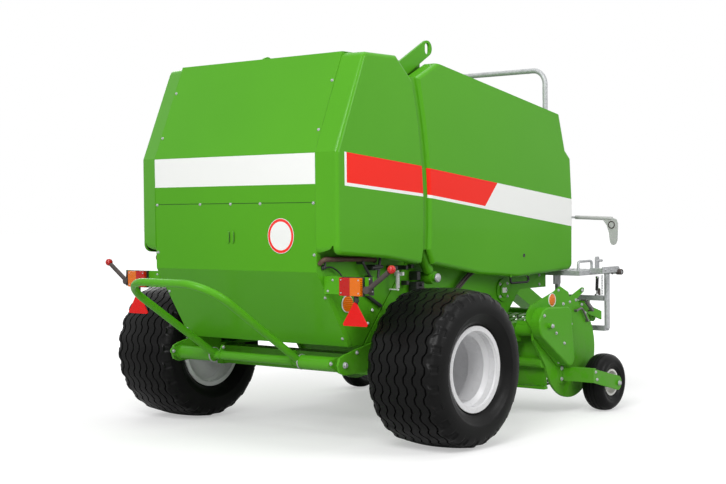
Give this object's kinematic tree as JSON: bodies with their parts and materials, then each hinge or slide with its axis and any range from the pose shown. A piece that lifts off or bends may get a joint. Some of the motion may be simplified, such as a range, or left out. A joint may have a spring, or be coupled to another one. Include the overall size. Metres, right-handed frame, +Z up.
{
  "type": "round baler",
  "caption": "Trailed round baler with fixed chamber: rising tailgate on two cylinders, tined pickup on gauge wheels, hinged side covers, bale ramp, drawbar with jack.",
  "frame": {"origin": "on the ground, in the middle of the machine's length and width", "axes": "+X to the machine's right, +Y forwards in travel, +Z up"},
  "size_m": [2.498, 4.3028, 2.2689],
  "materials": {
    "green_paint": "gloss enamel on pressed and welded steel",
    "cover_green": "moulded green side covers with painted bands",
    "black_steel": "black enamel",
    "dark_steel": "bare worked steel",
    "black_plastic": "matt black moulding",
    "red_lens": "clear red moulding",
    "amber_lens": "clear amber moulding",
    "red_reflector": "red reflector",
    "black_rubber": "matt moulded rubber",
    "sign_white": "white sheet with a red ring and no figures",
    "chrome_rod": "ground and plated",
    "tyre_rubber": "black tyre rubber",
    "pale_rim": "off-white enamel",
    "silver_rim": "silver enamel",
    "galvanised": "hot-dip galvanised"
  },
  "bodies": {
    "chassis": {"axle_beam": "green_paint", "main_rails": "green_paint", "chamber_side_right": "green_paint", "chamber_side_left": "green_paint", "front_slats": "dark_steel", "front_wall": "green_paint", "floor_rollers": "dark_steel", "hinge_beam": "green_paint", "roof": "green_paint", "net_box": "green_paint", "front_beam": "green_paint", "gearbox": "black_steel", "feed_trough": "green_paint", "drawbar": "green_paint", "platform": "galvanised", "handrail": "galvanised", "net_arm": "galvanised", "drive_case": "green_paint", "valve_block": "black_steel"},
    "tailgate": {"gate_side_right": "green_paint", "gate_side_left": "green_paint", "gate_skin": "green_paint", "gate_slats": "dark_steel", "rear_cover_right": "cover_green", "rear_cover_left": "cover_green", "lamp_bars": "green_paint", "lamp_housings": "black_plastic", "red_lenses": "red_lens", "amber_lenses": "amber_lens", "rear_triangles": "red_reflector", "marker_arms": "black_rubber", "marker_lenses": "red_lens", "sign_disc": "sign_white"},
    "front_cover_right": {"front_cover_right": "cover_green"},
    "front_cover_left": {"front_cover_left": "cover_green"},
    "net_lid": {"net_lid": "green_paint"},
    "feed_rotor": {"feed_rotor": "dark_steel"},
    "ram_barrel_right": {"ram_barrel_right": "green_paint"},
    "ram_barrel_left": {"ram_barrel_left": "green_paint"},
    "ram_rod_right": {"ram_rod_right": "chrome_rod"},
    "ram_rod_left": {"ram_rod_left": "chrome_rod"},
    "bale_ramp": {"ramp_loop": "green_paint"},
    "pickup": {"pickup_frame": "green_paint", "stripper_bands": "green_paint", "crop_roller": "green_paint", "chain_guard": "green_paint", "gauge_arms": "green_paint"},
    "pickup_reel": {"pickup_reel": "dark_steel"},
    "gauge_wheel_right": {"gauge_tyre_right": "tyre_rubber", "gauge_rim_right": "pale_rim"},
    "gauge_wheel_left": {"gauge_tyre_left": "tyre_rubber", "gauge_rim_left": "pale_rim"},
    "wheel_right": {"tyre_right": "tyre_rubber", "rim_right": "silver_rim"},
    "wheel_left": {"tyre_left": "tyre_rubber", "rim_left": "silver_rim"},
    "jack_leg": {"jack_leg": "galvanised"},
    "ladder": {"ladder": "galvanised"}
  },
  "joints": [
    {"name": "wheel_right_spin", "type": "hinge", "parent": "chassis", "child": "wheel_right", "pos_m": [1.006, -0.9905, 0.433], "axis": [1, 0, 0], "continuous": true},
    {"name": "wheel_left_spin", "type": "hinge", "parent": "chassis", "child": "wheel_left", "pos_m": [-1.006, -0.9905, 0.433], "axis": [1, 0, 0], "continuous": true},
    {"name": "tailgate_open", "type": "hinge", "parent": "chassis", "child": "tailgate", "pos_m": [0, -0.8805, 2.085], "axis": [-1, 0, 0], "range_deg": [0, 75]},
    {"name": "front_cover_right_open", "type": "hinge", "parent": "chassis", "child": "front_cover_right", "pos_m": [0.668, -0.7075, 2.117], "axis": [0, -0.9844, 0.1759], "range_deg": [0, 70]},
    {"name": "front_cover_left_open", "type": "hinge", "parent": "chassis", "child": "front_cover_left", "pos_m": [-0.668, -0.7075, 2.117], "axis": [0, 0.9844, -0.1759], "range_deg": [0, 70]},
    {"name": "net_lid_open", "type": "hinge", "parent": "chassis", "child": "net_lid", "pos_m": [0, -0.0855, 1.99], "axis": [1, 0, 0], "range_deg": [0, 60]},
    {"name": "feed_rotor_spin", "type": "hinge", "parent": "chassis", "child": "feed_rotor", "pos_m": [0, -0.1705, 0.56], "axis": [1, 0, 0], "continuous": true},
    {"name": "ramp_swing", "type": "hinge", "parent": "chassis", "child": "bale_ramp", "pos_m": [0, -1.4205, 0.46], "axis": [1, 0, 0], "range_deg": [0, 57], "stiffness_Nm_per_rad": 300, "springref_deg": -57.3},
    {"name": "pickup_lift", "type": "hinge", "parent": "chassis", "child": "pickup", "pos_m": [0, 0.1445, 0.575], "axis": [1, 0, 0], "range_deg": [0, 12]},
    {"name": "pickup_reel_spin", "type": "hinge", "parent": "pickup", "child": "pickup_reel", "pos_m": [0, 0.5145, 0.395], "axis": [1, 0, 0], "continuous": true},
    {"name": "gauge_wheel_right_spin", "type": "hinge", "parent": "pickup", "child": "gauge_wheel_right", "pos_m": [1.012, 0.7125, 0.181], "axis": [1, 0, 0], "continuous": true},
    {"name": "gauge_wheel_left_spin", "type": "hinge", "parent": "pickup", "child": "gauge_wheel_left", "pos_m": [-1.012, 0.7125, 0.181], "axis": [1, 0, 0], "continuous": true},
    {"name": "jack_slide", "type": "slide", "parent": "chassis", "child": "jack_leg", "axis": [0, 0, 1], "range_m": [0, 0.15]},
    {"name": "ladder_fold", "type": "hinge", "parent": "chassis", "child": "ladder", "pos_m": [0.678, 1.0095, 0.87], "axis": [1, 0, 0], "range_deg": [0, 90]},
    {"name": "ram_right_swing", "type": "hinge", "parent": "chassis", "child": "ram_barrel_right", "pos_m": [0.69, -0.6905, 0.9], "axis": [1, 0, 0], "range_deg": [-8.13, 1]},
    {"name": "ram_right_extend", "type": "slide", "parent": "ram_barrel_right", "child": "ram_rod_right", "axis": [0, -0.53, 0.848], "range_m": [0, 0.58802]},
    {"name": "ram_left_swing", "type": "hinge", "parent": "chassis", "child": "ram_barrel_left", "pos_m": [-0.69, -0.6905, 0.9], "axis": [1, 0, 0], "range_deg": [-8.13, 1]},
    {"name": "ram_left_extend", "type": "slide", "parent": "ram_barrel_left", "child": "ram_rod_left", "axis": [0, -0.53, 0.848], "range_m": [0, 0.58802]}
  ],
  "couplings": [
    {"joint": "ram_right_swing", "follows": "tailgate_open", "ratio": -0.095049},
    {"joint": "ram_right_extend", "follows": "tailgate_open", "m_per_rad": 0.4454},
    {"joint": "ram_left_swing", "follows": "tailgate_open", "ratio": -0.095049},
    {"joint": "ram_left_extend", "follows": "tailgate_open", "m_per_rad": 0.4454}
  ]
}
